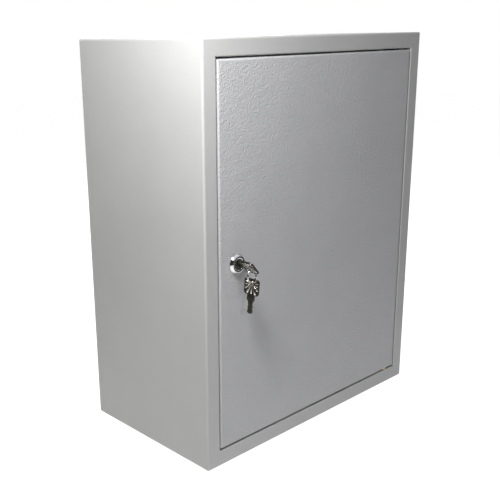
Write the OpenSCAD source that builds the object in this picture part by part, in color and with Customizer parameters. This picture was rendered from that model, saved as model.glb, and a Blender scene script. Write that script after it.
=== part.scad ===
// Steel wall enclosure: a folded and welded cabinet with an inset door on hidden pivots,
// a cam lock with two keys, a mounting plate and a blank cable entry plate.
// +X is right as seen from the front, +Y goes into the wall, +Z is up.
// The origin is the middle of the four wall holes, on the back face.

/* [Cabinet] */
// Width of the cabinet
cab_w = 400; // [300:10:600]
// Height of the cabinet
cab_h = 500; // [400:10:800]
// Depth of the cabinet, from the wall to the front frame
cab_d = 220; // [180:10:300]
// Thickness of the cabinet and door sheet
sheet_t = 1.2; // [1:0.1:1.5]
// Outside radius of the folded edges and corners
fold_r = 2.5; // [2:0.1:3]
// Width of the front frame round the door opening
frame_w = 20; // [18:1:26]
// Outside radius of the fold from the frame into the opening
lip_r = 1.6; // [1.5:0.1:2]
// How far the door stops reach past the edge of the opening
stop_w = 12; // [11:1:15]
// Length of the leg by which a door stop is welded to the lip
stop_leg = 10; // [8:1:12]

/* [Door] */
// Gap between the door and the frame
door_gap = 2; // [1.9:0.1:3]
// Depth of the folded door pan
door_d = 15; // [14:1:18]
// Width of the flange folded in at the back of the door
return_w = 12; // [10:1:14]
// Thickness of the foam seal on the door stops
seal_t = 2.7; // [2:0.1:4]
// Width of the foam seal
seal_w = 8; // [6:0.5:8]

/* [Pivots] */
// Distance from the edge of the door to the pivot axis
pivot_inset = 17; // [15:1:20]
// Distance from the face of the door to the pivot axis
pivot_setback = 7; // [6:0.1:7.2]
// Diameter of the pivot pins
pin_d = 6; // [5:0.5:7]
// Diameter of the heads of the pivot pins
pin_head_d = 10; // [9:0.5:11]
// Thickness of the heads of the pivot pins
pin_head_t = 2.5; // [2:0.5:4]
// Thickness of the pivot plates inside the door
pivot_plate_t = 3; // [2:0.5:5]
// Width of the pivot plates inside the door
pivot_plate_w = 26; // [20:1:28]

/* [Lock] */
// Distance from the edge of the door to the lock axis
lock_inset = 27; // [25:1:40]
// Diameter of the lock's bezel
bezel_d = 24; // [21:0.5:25]
// Diameter of the bezel's front edge
bezel_front_d = 19; // [17:0.5:20]
// How far the bezel stands out from the door
bezel_h = 4.4; // [3:0.2:6]
// Diameter of the lock's threaded barrel
barrel_d = 18; // [17:0.5:19]
// Distance between the two flats on the barrel
barrel_flats = 16; // [15:0.5:16.5]
// Diameter of the turning plug
plug_d = 13; // [12:0.5:13.5]
// Distance from the lock axis to the tip of the cam
cam_reach = 26; // [24:1:30]
// Width of the cam
cam_w = 14; // [12:1:16]
// Thickness of the cam
cam_t = 2; // [1.5:0.5:3]
// Angle by which the key leans from upright
key_turn = 40; // [30:1:45]

/* [Keys] */
// Width of a key's bow
bow_w = 20; // [18:0.5:20.5]
// Length of a key's bow
bow_l = 19.5; // [18:0.5:22]
// Thickness of a key's bow
bow_t = 2.2; // [1.8:0.1:2.4]
// Corner radius of a key's bow
bow_r = 3.5; // [2:0.5:5]
// Width of the shoulder between bow and blade
neck_w = 9.4; // [8.5:0.1:10.5]
// Length of the shoulder between bow and blade
neck_l = 7; // [6:0.5:10]
// Width of a key's blade
blade_w = 7; // [6:0.1:7.6]
// Length of a key's blade
blade_l = 16; // [15:0.5:16.5]
// Thickness of a key's blade
blade_t = 2; // [1.6:0.1:2.2]
// Diameter of the hole in a key's bow
key_hole_d = 5.2; // [5.2:0.1:6]
// Distance from the end of the bow to the middle of its hole
key_hole_inset = 5.8; // [5:0.1:7]
// Number of flutes that radiate from the hole on each face of the bow
flute_count = 14; // [10:1:16]
// Depth of the flutes
flute_depth = 0.35; // [0.2:0.05:0.5]
// Mean diameter of the split ring
ring_d = 17; // [17:0.5:22]
// Diameter of the ring's wire
ring_wire = 1.2; // [1:0.1:1.2]
// Angle by which the ring is turned from the door's plane
ring_turn = 10; // [0:1:12]
// Angle by which the hanging key leans towards the door
spare_lean = 5; // [0:1:8]

/* [Back and mounting plate] */
// Distance from the side of the cabinet to the middle of a wall hole
wall_hole_inset = 25; // [20:1:30]
// Diameter of the wall holes
wall_hole_d = 8.5; // [6:0.5:10]
// Gap between the mounting plate and the cabinet's outside, seen from the front
plate_margin = 30; // [26:1:60]
// Cut-off corners of the mounting plate, which clear the wall holes
plate_corner = 25; // [20:1:30]
// Thickness of the mounting plate
plate_t = 2; // [1.5:0.5:3]
// Gap between the back panel and the mounting plate
plate_standoff = 14; // [8:1:25]
// Distance from the edge of the mounting plate to its studs
plate_stud_inset = 20; // [18:1:30]
// Diameter of the mounting plate's studs
plate_stud_d = 8; // [6:1:8]

/* [Cable entry] */
// Width of the cable entry cut in the bottom
entry_w = 180; // [120:10:220]
// Depth of the cable entry cut in the bottom
entry_d = 70; // [50:5:90]
// How far the blank plate overlaps the cable entry
entry_lap = 16; // [14:1:20]
// Thickness of the blank plate
entry_plate_t = 1.5; // [1:0.5:3]
// Thickness of the foam gasket under the blank plate
entry_seal_t = 2; // [1:0.5:3]
// Diameter of the blank plate's studs
entry_stud_d = 5; // [4:1:5]

/* [Earthing] */
// Diameter of the earth studs
earth_stud_d = 6; // [5:1:8]
// Free length of the earth studs
earth_stud_l = 13; // [12:1:18]
// Distance from the right side of the cabinet to its earth stud
earth_inset = 35; // [25:1:38]
// Height of the door's earth stud above the bottom of the cabinet
earth_z = 90; // [60:10:150]

/* [Hidden] */
$fn = 64;

// Clearances and small allowances
cut = 1;             // how far a cutter runs past the surface it cuts
seat_gap = 0.3;      // gap between the door's back and the foam seal
run_gap = 0.05;      // radial clearance of a shaft that turns in its bore
thread_gap = 0.1;    // radial clearance of a nut or washer on its stud
loose_gap = 0.4;     // radial clearance of a bolt hole
cam_clear = 1;       // gap between the locked cam and the door stop
seal_rim = 1;        // width of the stop left bare beyond the seal
swing_gap = 0.5;     // gap between the ends of the stops and the opening door's back corner

// Finishes
PAINT = [0.80, 0.81, 0.82];
DOOR_PAINT = [0.77, 0.78, 0.79];
FOAM = [0.16, 0.16, 0.17];
ZINC = [0.72, 0.73, 0.74];
GALVANISED = [0.66, 0.68, 0.70];
CHROME = [0.86, 0.86, 0.88];
DARK_STEEL = [0.38, 0.38, 0.39];
BRASS = [0.74, 0.62, 0.36];
NICKEL = [0.78, 0.76, 0.72];

// Places worked out from the driving dimensions
front_y = -cab_d;
bottom_z = -cab_h / 2;
open_w = cab_w - 2 * frame_w;
open_h = cab_h - 2 * frame_w;
door_w = open_w - 2 * door_gap;
door_h = open_h - 2 * door_gap;
lip_d = door_d + seal_t + seat_gap;
stop_back = lip_d + sheet_t;
seal_edge = stop_w - seal_w - seal_rim;

pivot_x = door_w / 2 - pivot_inset;
pivot_y = front_y + pivot_setback;
pin_end = 1;
pivot_washer_over = 2.5;
pin_l = pin_head_t + sheet_t + door_gap + sheet_t + pivot_plate_t + pin_end;
pivot_washer_d = pin_d + 2 * pivot_washer_over;
swing_r = sqrt(pow(pivot_inset, 2) + pow(door_d - pivot_setback, 2));
stop_end_x = pivot_x - swing_r - swing_gap;

lock_x = -door_w / 2 + lock_inset;
lock_z = 0;
bezel_rim = 1;
bezel_recess = 0.8;
bezel_recess_over = 0.8;
bezel_recess_d = plug_d + 2 * bezel_recess_over;
barrel_l = stop_back + cam_clear;
barrel_gap = 0.3;
plug_face = -(bezel_h - bezel_recess);
cam_square = 7;
cam_tip_r = 5;
tail_d = 6;
lock_nut_over = 5;
lock_washer_d = barrel_d + lock_nut_over;
lock_washer_t = 0.8;
lock_nut_t = 5;
lock_nut_flats = barrel_d + lock_nut_over;
tail_washer_t = 1;
tail_nut_t = 4;
tail_end = 1;
tail_nut_flats = 10;

wafer_count = 5;
wafer_pitch = 2.2;
wafer_t = 1;
wafer_w = 5.2;
wafer_first = -1.2;
slot_gap = 0.2;
wafer_gap = 0.1;
bitting = [0.5, 1.0, 0.3, 0.8, 0.5];
bitting_flat = 1.1;
tip_w = 3.4;
tip_l = 2.2;
hole_rim = 1.2;
flute_root_r = 0.5;
flute_tip_r = 2.4;

ring_r = ring_d / 2;
turn_offset = 0.45 * ring_wire;
hang_gap = 0.6;

m8_washer_t = 1.6;
washer_over = 4;
m8_nut_t = 6.5;
m8_nut_over = 5;
stud_collar_over = 6;
stud_end = 3;
small_nut_t = 5;
small_nut_over = 3;
nut_flange_t = 1;
nut_flange_over = 6;
earth_washer_t = 1.2;
earth_nut_over = 4;
earth_setback = 60;
earth_y = front_y + earth_setback;
door_earth_inset = 40;
door_earth_x = pivot_x - door_earth_inset;
plate_w = cab_w - 2 * plate_margin;
plate_h = cab_h - 2 * plate_margin;

// ---------------------------------------------------------------- outlines

// Rectangle with round corners, in the middle of its own axes
module rounded_rect(w, h, r) {
    square([w - 2 * r, h], center = true);
    square([w, h - 2 * r], center = true);
    for (x = [-1, 1], y = [-1, 1])
        translate([x * (w / 2 - r), y * (h / 2 - r)]) circle(r);
}

// Cross section of a block whose two front edges are folded round
module front_folded_rect(w, d, r) {
    translate([-w / 2, r]) square([w, d - r]);
    translate([-w / 2 + r, 0]) square([w - 2 * r, d]);
    for (x = [-1, 1])
        translate([x * (w / 2 - r), r]) circle(r);
}

// Cross section of a hole whose mouth flares out over a fold of radius r
module flared_rect(w, d, r) {
    translate([-w / 2, -cut]) square([w, d + cut]);
    difference() {
        translate([-w / 2 - r, -cut]) square([w + 2 * r, r + cut]);
        for (x = [-1, 1])
            translate([x * (w / 2 + r), r]) circle(r);
    }
}

// Section of a folded angle, with its outer corner at the origin:
// the leg runs down and the flange runs right
module angle_section(leg, flange, t) {
    translate([0, -leg]) square([t, leg - t]);
    translate([t, -t]) square([flange - t, t]);
    intersection() {
        translate([t, -t]) circle(t);
        translate([0, -t]) square(t);
    }
}

// ---------------------------------------------------------------- building blocks

// Three crossed extrusions of the sections of a box: front at y = 0, w by h by d
module along_axes(w, h, d) {
    intersection() {
        translate([0, 0, -h / 2]) linear_extrude(h) children(0);
        rotate([0, 90, 0]) translate([0, 0, -w / 2]) linear_extrude(w) children(1);
        translate([0, d, 0]) rotate([90, 0, 0]) linear_extrude(d) children(2);
    }
}

// Block with folded front edges and round corners
module folded_block(w, h, d, r) {
    along_axes(w, h, d) {
        front_folded_rect(w, d, r);
        front_folded_rect(h, d, r);
        rounded_rect(w, h, r);
    }
}

// Block with folded front and back edges and round corners
module folded_pan(w, h, d, r) {
    along_axes(w, h, d) {
        translate([0, d / 2]) rounded_rect(w, d, r);
        translate([0, d / 2]) rounded_rect(h, d, r);
        rounded_rect(w, h, r);
    }
}

// Cutter for an opening with folded edges
module flared_opening(w, h, d, r) {
    intersection() {
        translate([0, 0, -h / 2 - r]) linear_extrude(h + 2 * r) flared_rect(w, d, r);
        rotate([0, 90, 0])
            translate([0, 0, -w / 2 - r]) linear_extrude(w + 2 * r) flared_rect(h, d, r);
    }
}

// Box from its middle in x and z, with its front at y = 0
module front_box(w, h, d) {
    translate([-w / 2, 0, -h / 2]) cube([w, d, h]);
}

// Flat ring round the z axis
module flat_ring(outer_d, inner_d, t) {
    difference() {
        cylinder(h = t, d = outer_d);
        translate([0, 0, -cut]) cylinder(h = t + 2 * cut, d = inner_d);
    }
}

// Hexagon nut round the z axis
module hex_nut(flats, bore_d, t) {
    difference() {
        cylinder(h = t, d = flats / cos(30), $fn = 6);
        translate([0, 0, -cut]) cylinder(h = t + 2 * cut, d = bore_d);
    }
}

// Places its children with z along -Y, so that they stand out from the back towards the front
module facing_front() {
    rotate([90, 0, 0]) children();
}

// Places its children at the lock axis, with z going into the cabinet from the door's face
module at_lock() {
    translate([lock_x, front_y, lock_z]) rotate([-90, 0, 0]) children();
}

// The four places of a rectangular pattern
module four_places(dx, dy) {
    for (x = [-1, 1], y = [-1, 1])
        translate([x * dx / 2, y * dy / 2, 0]) children();
}

// ---------------------------------------------------------------- cabinet

// Four walls, front frame and the lip into the opening, folded from sheet and welded
module cabinet_shell() {
    color(PAINT)
    difference() {
        translate([0, front_y, 0]) difference() {
            union() {
                difference() {
                    folded_block(cab_w, cab_h, cab_d, fold_r);
                    translate([0, sheet_t, 0])
                        folded_block(cab_w - 2 * sheet_t, cab_h - 2 * sheet_t, cab_d,
                                     fold_r - sheet_t);
                }
                translate([0, sheet_t / 2, 0])
                    front_box(open_w + 2 * sheet_t, open_h + 2 * sheet_t, lip_d - sheet_t / 2);
            }
            flared_opening(open_w, open_h, lip_d + cut, lip_r);
        }
        for (side = [-1, 1])
            translate([pivot_x, pivot_y, side * (open_h / 2 + sheet_t / 2)])
                cylinder(h = sheet_t + 2 * cut, d = pin_d + 2 * run_gap, center = true);
        translate([-entry_w / 2, front_y / 2 - entry_d / 2, bottom_z - cut])
            cube([entry_w, entry_d, sheet_t + 2 * cut]);
    }
}

// Back sheet, welded flush between the walls, with the four wall holes
module back_panel() {
    color(PAINT)
    facing_front() linear_extrude(sheet_t) difference() {
        rounded_rect(cab_w - 2 * sheet_t, cab_h - 2 * sheet_t, fold_r);
        four_places(cab_w - 2 * wall_hole_inset, cab_h - 2 * wall_hole_inset)
            circle(d = wall_hole_d);
    }
}

// Angle strip for a door stop on the left of an opening of the given half width, from z1 to z2
module stop_strip(half_opening, z1, z2) {
    color(PAINT)
    translate([-half_opening - 2 * sheet_t, front_y + stop_back, z1])
        linear_extrude(z2 - z1)
            angle_section(stop_leg + sheet_t, stop_w + 2 * sheet_t, sheet_t);
}

module door_stop_left() {
    stop_strip(open_w / 2, -open_h / 2 + stop_w, open_h / 2 - stop_w);
}

// The top and bottom stops end short of the sweep of the door's back corner
module door_stop_top() {
    rotate([0, 90, 0]) stop_strip(open_h / 2, -open_w / 2, stop_end_x);
}

module door_stop_bottom() {
    mirror([0, 0, 1]) door_stop_top();
}

// Three foam strips, one on each door stop
module door_seal() {
    reach_x = open_w / 2 - seal_edge;
    reach_z = open_h / 2 - seal_edge;
    side_l = 2 * (reach_z - seal_w - seat_gap);
    color(FOAM)
    translate([0, front_y + lip_d, 0]) facing_front() linear_extrude(seal_t) {
        for (z = [-reach_z, reach_z - seal_w])
            translate([-reach_x, z]) square([reach_x + stop_end_x, seal_w]);
        translate([-reach_x, -side_l / 2]) square([seal_w, side_l]);
    }
}

// Headed pin that drops through the upper lip into the door
module upper_pivot_pin() {
    color(ZINC)
    translate([pivot_x, pivot_y, open_h / 2 + sheet_t + pin_head_t]) mirror([0, 0, 1]) {
        cylinder(h = pin_head_t, d = pin_head_d);
        cylinder(h = pin_l, d = pin_d);
    }
}

// The same pin, riveted upwards through the lower lip
module lower_pivot_pin() {
    mirror([0, 0, 1]) upper_pivot_pin();
}

// Thrust washer that carries the door on the lower lip
module pivot_washer() {
    color(BRASS)
    translate([pivot_x, pivot_y, -open_h / 2])
        flat_ring(pivot_washer_d, pin_d + 2 * thread_gap, door_gap - seat_gap);
}

// ---------------------------------------------------------------- mounting plate

// Places its children at the four studs, on the inner face of the back panel
module at_plate_studs(height) {
    translate([0, -sheet_t - height, 0]) facing_front()
        four_places(plate_w - 2 * plate_stud_inset, plate_h - 2 * plate_stud_inset)
            children();
}

// Collar studs welded to the back panel
module plate_studs() {
    stud_l = plate_standoff + plate_t + m8_washer_t + m8_nut_t + stud_end;
    color(ZINC)
    at_plate_studs(0) {
        cylinder(h = plate_standoff, d = plate_stud_d + stud_collar_over);
        cylinder(h = stud_l, d = plate_stud_d);
    }
}

// Galvanised plate for the equipment, with cut-off corners
module mounting_plate() {
    color(GALVANISED)
    difference() {
        translate([0, -sheet_t - plate_standoff, 0]) facing_front() linear_extrude(plate_t)
            intersection() {
                square([plate_w, plate_h], center = true);
                rotate(45)
                    square((plate_w + plate_h - 2 * plate_corner) / sqrt(2), center = true);
            }
        at_plate_studs(plate_standoff - cut)
            cylinder(h = plate_t + 2 * cut, d = plate_stud_d + 2 * loose_gap);
    }
}

module plate_washers() {
    color(ZINC)
    at_plate_studs(plate_standoff + plate_t)
        flat_ring(plate_stud_d + 2 * washer_over, plate_stud_d + 2 * thread_gap, m8_washer_t);
}

module plate_nuts() {
    color(ZINC)
    at_plate_studs(plate_standoff + plate_t + m8_washer_t)
        hex_nut(plate_stud_d + m8_nut_over, plate_stud_d + 2 * thread_gap, m8_nut_t);
}

// ---------------------------------------------------------------- cable entry

// Places its children at the six studs round the cable entry, above the cabinet's floor
module at_entry_studs(height) {
    translate([0, front_y / 2, bottom_z + sheet_t + height])
        for (x = [-1, 0, 1], y = [-1, 1])
            translate([x * (entry_w + entry_lap) / 2, y * (entry_d + entry_lap) / 2, 0])
                children();
}

// Sheet that covers the cable entry with its lap, at a height above the cabinet's floor
module entry_cover(height, t) {
    difference() {
        translate([-entry_w / 2 - entry_lap, front_y / 2 - entry_d / 2 - entry_lap,
                   bottom_z + sheet_t + height])
            cube([entry_w + 2 * entry_lap, entry_d + 2 * entry_lap, t]);
        at_entry_studs(height - cut)
            cylinder(h = t + 2 * cut, d = entry_stud_d + 2 * loose_gap);
    }
}

module entry_studs() {
    color(ZINC)
    at_entry_studs(0)
        cylinder(h = entry_seal_t + entry_plate_t + small_nut_t + stud_end, d = entry_stud_d);
}

// Foam gasket with the same hole as the cable entry
module entry_gasket() {
    color(FOAM)
    difference() {
        entry_cover(0, entry_seal_t);
        translate([-entry_w / 2, front_y / 2 - entry_d / 2, bottom_z])
            cube([entry_w, entry_d, sheet_t + entry_seal_t + cut]);
    }
}

// Blank plate that the installer drills for glands
module entry_plate() {
    color(PAINT) entry_cover(entry_seal_t, entry_plate_t);
}

// Nuts with a pressed flange
module entry_nuts() {
    color(ZINC)
    at_entry_studs(entry_seal_t + entry_plate_t) {
        hex_nut(entry_stud_d + small_nut_over, entry_stud_d + 2 * thread_gap, small_nut_t);
        flat_ring(entry_stud_d + nut_flange_over, entry_stud_d + 2 * thread_gap, nut_flange_t);
    }
}

// ---------------------------------------------------------------- earthing

// Places its children on the cabinet's floor, with z pointing up
module at_cabinet_earth() {
    translate([cab_w / 2 - earth_inset, earth_y, bottom_z + sheet_t]) children();
}

// Places its children on the door's inner face, with z pointing into the cabinet
module at_door_earth() {
    translate([door_earth_x, front_y + sheet_t, bottom_z + earth_z]) rotate([-90, 0, 0])
        children();
}

module earth_stud() {
    color(BRASS) cylinder(h = earth_stud_l, d = earth_stud_d);
}

// Two washers that clamp the cable lug between them
module earth_washers() {
    color(BRASS)
    for (z = [0, earth_washer_t])
        translate([0, 0, z])
            flat_ring(earth_stud_d + 2 * washer_over - 2 * z, earth_stud_d + 2 * thread_gap,
                      earth_washer_t);
}

module earth_nut() {
    color(BRASS)
    translate([0, 0, 2 * earth_washer_t])
        hex_nut(earth_stud_d + earth_nut_over, earth_stud_d + 2 * thread_gap, small_nut_t);
}

module cabinet_earth_stud() { at_cabinet_earth() earth_stud(); }
module cabinet_earth_washers() { at_cabinet_earth() earth_washers(); }
module cabinet_earth_nut() { at_cabinet_earth() earth_nut(); }
module door_earth_stud() { at_door_earth() earth_stud(); }
module door_earth_washers() { at_door_earth() earth_washers(); }
module door_earth_nut() { at_door_earth() earth_nut(); }

// ---------------------------------------------------------------- door

// Round outline with two flats, as on the lock's barrel
module double_d(d, flats) {
    intersection() {
        circle(d = d);
        square([d + cut, flats], center = true);
    }
}

// Pan folded from one sheet, with flanges turned in at the back
module door_panel() {
    color(DOOR_PAINT)
    difference() {
        translate([0, front_y, 0]) difference() {
            folded_pan(door_w, door_h, door_d, fold_r);
            translate([0, sheet_t, 0])
                folded_pan(door_w - 2 * sheet_t, door_h - 2 * sheet_t, door_d - 2 * sheet_t,
                           fold_r - sheet_t);
            translate([0, door_d / 2, 0])
                front_box(door_w - 2 * return_w, door_h - 2 * return_w, door_d);
        }
        at_lock() translate([0, 0, -cut]) linear_extrude(sheet_t + 2 * cut)
            double_d(barrel_d + 2 * thread_gap, barrel_flats + 2 * thread_gap);
        for (side = [-1, 1])
            translate([pivot_x, pivot_y, side * (door_h / 2 - sheet_t / 2)])
                cylinder(h = sheet_t + 2 * cut, d = pin_d + 2 * loose_gap, center = true);
    }
}

// Thick plate welded into the pan, whose bore turns on the pivot pin
module upper_pivot_plate() {
    color(ZINC)
    difference() {
        translate([pivot_x - pivot_plate_w / 2, front_y + fold_r,
                   door_h / 2 - sheet_t - pivot_plate_t])
            cube([pivot_plate_w, door_d - 2 * fold_r, pivot_plate_t]);
        translate([pivot_x, pivot_y, door_h / 2 - sheet_t - pivot_plate_t - cut])
            cylinder(h = pivot_plate_t + 2 * cut, d = pin_d + 2 * run_gap);
    }
}

module lower_pivot_plate() {
    mirror([0, 0, 1]) upper_pivot_plate();
}

// ---------------------------------------------------------------- lock

// Chromed bezel and threaded barrel in one casting
module lock_housing() {
    bezel_r = bezel_d / 2;
    front_r = bezel_front_d / 2;
    color(CHROME)
    at_lock() difference() {
        union() {
            rotate_extrude()
                polygon([[0, 0], [bezel_r, 0], [bezel_r, -bezel_rim],
                         [front_r, -bezel_h], [0, -bezel_h]]);
            linear_extrude(barrel_l - barrel_gap) double_d(barrel_d, barrel_flats);
        }
        translate([0, 0, -bezel_h - cut])
            cylinder(h = bezel_h + barrel_l + 2 * cut, d = plug_d + 2 * run_gap);
        translate([0, 0, -bezel_h - cut])
            cylinder(h = bezel_recess + cut, d = bezel_recess_d);
    }
}

module lock_washer() {
    color(ZINC)
    at_lock() translate([0, 0, sheet_t])
        flat_ring(lock_washer_d, barrel_d + 2 * thread_gap, lock_washer_t);
}

module lock_nut() {
    color(ZINC)
    at_lock() translate([0, 0, sheet_t + lock_washer_t])
        hex_nut(lock_nut_flats, barrel_d + 2 * thread_gap, lock_nut_t);
}

// Places its children in the plane of the key slot: x across the blade, y along its width
module at_key_angle() {
    at_lock() rotate([0, 0, -key_turn]) children();
}

// Places its children at each wafer, from the front of the lock to its back
module at_wafers() {
    for (i = [0 : wafer_count - 1])
        translate([0, 0, wafer_first + i * wafer_pitch]) children();
}

// Turning plug with its key slot, the slots of its wafers, a square for the cam and a thread
module lock_plug() {
    slot_t = blade_t + 2 * slot_gap;
    slot_w = blade_w + 2 * slot_gap;
    tail_l = cam_t + tail_washer_t + tail_nut_t + tail_end;
    color(CHROME)
    at_key_angle() {
        difference() {
            translate([0, 0, plug_face]) cylinder(h = barrel_l - plug_face, d = plug_d);
            translate([-slot_t / 2, -slot_w / 2, plug_face - cut])
                cube([slot_t, slot_w, blade_l + slot_gap + cut]);
            at_wafers()
                translate([-wafer_w / 2 - wafer_gap, -plug_d, -wafer_gap])
                    cube([wafer_w + 2 * wafer_gap, 2 * plug_d, wafer_t + 2 * wafer_gap]);
        }
        rotate([0, 0, key_turn]) {
            translate([-cam_square / 2, -cam_square / 2, barrel_l])
                cube([cam_square, cam_square, cam_t - wafer_gap]);
            translate([0, 0, barrel_l]) cylinder(h = tail_l, d = tail_d);
        }
    }
}

// Flat wafers that the key lines up, each with a window for the blade
module lock_wafers() {
    color(BRASS)
    at_key_angle() at_wafers() linear_extrude(wafer_t) difference() {
        intersection() {
            square([wafer_w, plug_d], center = true);
            circle(d = plug_d - wafer_gap);
        }
        square([blade_t + 2 * slot_gap, blade_w + 2 * slot_gap], center = true);
    }
}

// Flat cam that hangs down when the lock is open
module lock_cam() {
    color(ZINC)
    at_lock() translate([0, 0, barrel_l]) linear_extrude(cam_t) difference() {
        union() {
            circle(d = cam_w);
            translate([-cam_tip_r, 0]) square([2 * cam_tip_r, cam_reach - cam_tip_r]);
            translate([0, cam_reach - cam_tip_r]) circle(cam_tip_r);
        }
        square(cam_square + 2 * thread_gap, center = true);
    }
}

module cam_washer() {
    color(ZINC)
    at_lock() translate([0, 0, barrel_l + cam_t])
        flat_ring(tail_d + 2 * washer_over, tail_d + 2 * thread_gap, tail_washer_t);
}

module cam_nut() {
    color(ZINC)
    at_lock() translate([0, 0, barrel_l + cam_t + tail_washer_t])
        hex_nut(tail_nut_flats, tail_d + 2 * thread_gap, tail_nut_t);
}

// ---------------------------------------------------------------- keys

// Place along the blade of the cut for one wafer
function cut_y(i) = wafer_first + wafer_t / 2 + i * wafer_pitch - (plug_face - seat_gap);

// Points along one edge of the blade, two for each cut, from the first end to the other
function cut_points(side, wafers, ends) = [
    for (i = wafers, end = ends)
        [side * (blade_w / 2 - bitting[i]), cut_y(i) + end * bitting_flat / 2]
];

// Outline of the blade, cut on both edges, from the shoulder at y = 0 to the tip
module blade_outline() {
    last = wafer_count - 1;
    polygon(concat(
        [[blade_w / 2, 0]], cut_points(1, [0 : last], [-1, 1]), [[blade_w / 2, blade_l - tip_l]],
        [[tip_w / 2, blade_l], [-tip_w / 2, blade_l]],
        [[-blade_w / 2, blade_l - tip_l]], cut_points(-1, [last : -1 : 0], [1, -1]),
        [[-blade_w / 2, 0]]
    ));
}

// Tapered flutes that radiate from the hole on the face at z = 0
module bow_flutes() {
    flute_l = bow_w;
    lean = atan((flute_tip_r - flute_root_r) / flute_l);
    for (i = [0 : flute_count - 1])
        rotate([0, 0, (i + 0.5) * 360 / flute_count])
            translate([key_hole_d / 2 + hole_rim, 0, flute_root_r - flute_depth])
                rotate([0, 90 - lean, 0])
                    cylinder(h = flute_l, r1 = flute_root_r, r2 = flute_tip_r);
}

// A key in the xy plane: shoulder at y = 0, tip at +y, bow at -y
module key_blank() {
    hole_y = key_hole_y();
    translate([0, 0, -blade_t / 2]) linear_extrude(blade_t) {
        blade_outline();
        translate([-neck_w / 2, -neck_l - cut]) square([neck_w, neck_l + cut]);
    }
    difference() {
        translate([0, -neck_l - bow_l / 2, -bow_t / 2]) linear_extrude(bow_t)
            rounded_rect(bow_w, bow_l, bow_r);
        translate([0, hole_y, -bow_t]) cylinder(h = 2 * bow_t, d = key_hole_d);
        for (face = [0, 1])
            translate([0, hole_y, 0]) mirror([0, 0, face])
                translate([0, 0, bow_t / 2]) bow_flutes();
    }
}

// Place of the hole along the key
function key_hole_y() = -neck_l - bow_l + key_hole_inset;

// The key in the lock
module key() {
    color(NICKEL)
    at_key_angle() translate([0, 0, plug_face - seat_gap]) rotate([0, -90, 0])
        rotate([0, 0, -90]) key_blank();
}

// Places its children in the hole of the key in the lock: x across the ring, z up
module at_ring() {
    translate([lock_x, front_y + plug_face - seat_gap + key_hole_y(), lock_z])
        rotate([0, 0, ring_turn]) children();
}

// Split ring of two turns of wire, lying side by side
module key_ring() {
    color(CHROME)
    at_ring() translate([0, 0, -ring_r]) rotate([90, 0, 0])
        rotate_extrude()
            for (turn = [-1, 1])
                translate([ring_r, turn * turn_offset]) circle(d = ring_wire);
}

// The spare key, hanging from the bottom of the ring
module spare_key() {
    drop = ring_d + key_hole_d / 2 - ring_wire / 2 - hang_gap;
    color(NICKEL)
    at_ring() translate([0, 0, -drop]) rotate([spare_lean, 0, 0]) rotate([0, 90, 0])
        rotate([0, 0, -90]) translate([0, -key_hole_y(), 0]) key_blank();
}

// ---------------------------------------------------------------- nodes

cabinet_shell();
back_panel();
door_stop_left();
door_stop_top();
door_stop_bottom();
door_seal();
upper_pivot_pin();
lower_pivot_pin();
pivot_washer();
plate_studs();
mounting_plate();
plate_washers();
plate_nuts();
entry_studs();
entry_gasket();
entry_plate();
entry_nuts();
cabinet_earth_stud();
cabinet_earth_washers();
cabinet_earth_nut();
door_panel();
upper_pivot_plate();
lower_pivot_plate();
door_earth_stud();
door_earth_washers();
door_earth_nut();
lock_housing();
lock_washer();
lock_nut();
lock_plug();
lock_wafers();
lock_cam();
cam_washer();
cam_nut();
key();
key_ring();
spare_key();
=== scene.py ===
import math

import bmesh
import bpy
from mathutils import Matrix, Vector, noise


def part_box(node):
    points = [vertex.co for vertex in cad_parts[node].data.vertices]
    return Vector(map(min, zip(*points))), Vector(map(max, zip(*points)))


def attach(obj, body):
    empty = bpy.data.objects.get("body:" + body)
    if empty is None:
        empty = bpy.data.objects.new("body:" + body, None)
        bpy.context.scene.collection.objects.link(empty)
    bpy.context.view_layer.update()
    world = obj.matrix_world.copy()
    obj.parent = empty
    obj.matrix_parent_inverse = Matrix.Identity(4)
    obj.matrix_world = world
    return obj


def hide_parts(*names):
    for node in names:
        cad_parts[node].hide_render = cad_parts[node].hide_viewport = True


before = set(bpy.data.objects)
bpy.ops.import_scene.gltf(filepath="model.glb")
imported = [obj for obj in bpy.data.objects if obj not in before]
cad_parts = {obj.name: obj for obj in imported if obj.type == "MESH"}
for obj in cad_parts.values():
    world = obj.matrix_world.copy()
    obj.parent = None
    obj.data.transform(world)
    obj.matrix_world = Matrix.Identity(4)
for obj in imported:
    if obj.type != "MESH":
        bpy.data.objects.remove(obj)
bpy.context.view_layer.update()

MM = 0.001


def mm(*lengths):
    """Lengths in millimetres as metres."""
    return tuple(length * MM for length in lengths)


# ---------------------------------------------------------------- places, from the cabinet's own parts

DOOR_LOW, DOOR_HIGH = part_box("door_panel")
SHELL_LOW, SHELL_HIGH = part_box("cabinet_shell")
HOUSING_LOW, HOUSING_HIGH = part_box("lock_housing")
DOOR_FACE = DOOR_LOW.y
LOCK_X = (HOUSING_LOW.x + HOUSING_HIGH.x) / 2
LOCK_Z = (HOUSING_LOW.z + HOUSING_HIGH.z) / 2

FRAME_WIDTH = 20 * MM
SHEET = 1.2 * MM
BEZEL_HEIGHT = DOOR_FACE - HOUSING_LOW.y
BEZEL_RECESS = 0.8 * MM
PLUG_FACE = BEZEL_HEIGHT - BEZEL_RECESS
KEY_SEAT = PLUG_FACE + 0.3 * MM
KEY_TURN = math.radians(40)
RING_TURN = math.radians(10)
RING_RADIUS = 8.5 * MM
RING_WIRE = 1.2 * MM
TURN_OFFSET = 0.45 * RING_WIRE
SPARE_DROP = 18.4 * MM
SPARE_LEAN = math.radians(5)

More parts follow.
